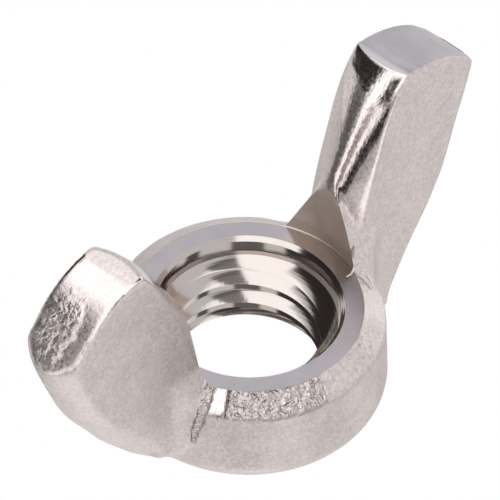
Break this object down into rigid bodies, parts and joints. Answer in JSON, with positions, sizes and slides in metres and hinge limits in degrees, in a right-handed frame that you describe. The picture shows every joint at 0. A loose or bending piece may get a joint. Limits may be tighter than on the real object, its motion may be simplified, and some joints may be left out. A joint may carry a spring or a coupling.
{
  "type": "wing nut",
  "caption": "Forged wing nut: a short threaded ring with two flat upright wings that lean outward, for tightening by hand on a bolt or stud.",
  "frame": {"origin": "centre of the bearing face, on the thread's axis", "axes": "+Z along the thread from the bearing face to the wings, X from wing to wing, Y through the wings' thickness"},
  "size_m": [0.0338, 0.016, 0.0181],
  "materials": {
    "stainless_steel": "tumbled forged stainless steel, turned top land, bright cut thread"
  },
  "bodies": {
    "root": {"wing_nut": "stainless_steel"}
  },
  "joints": []
}
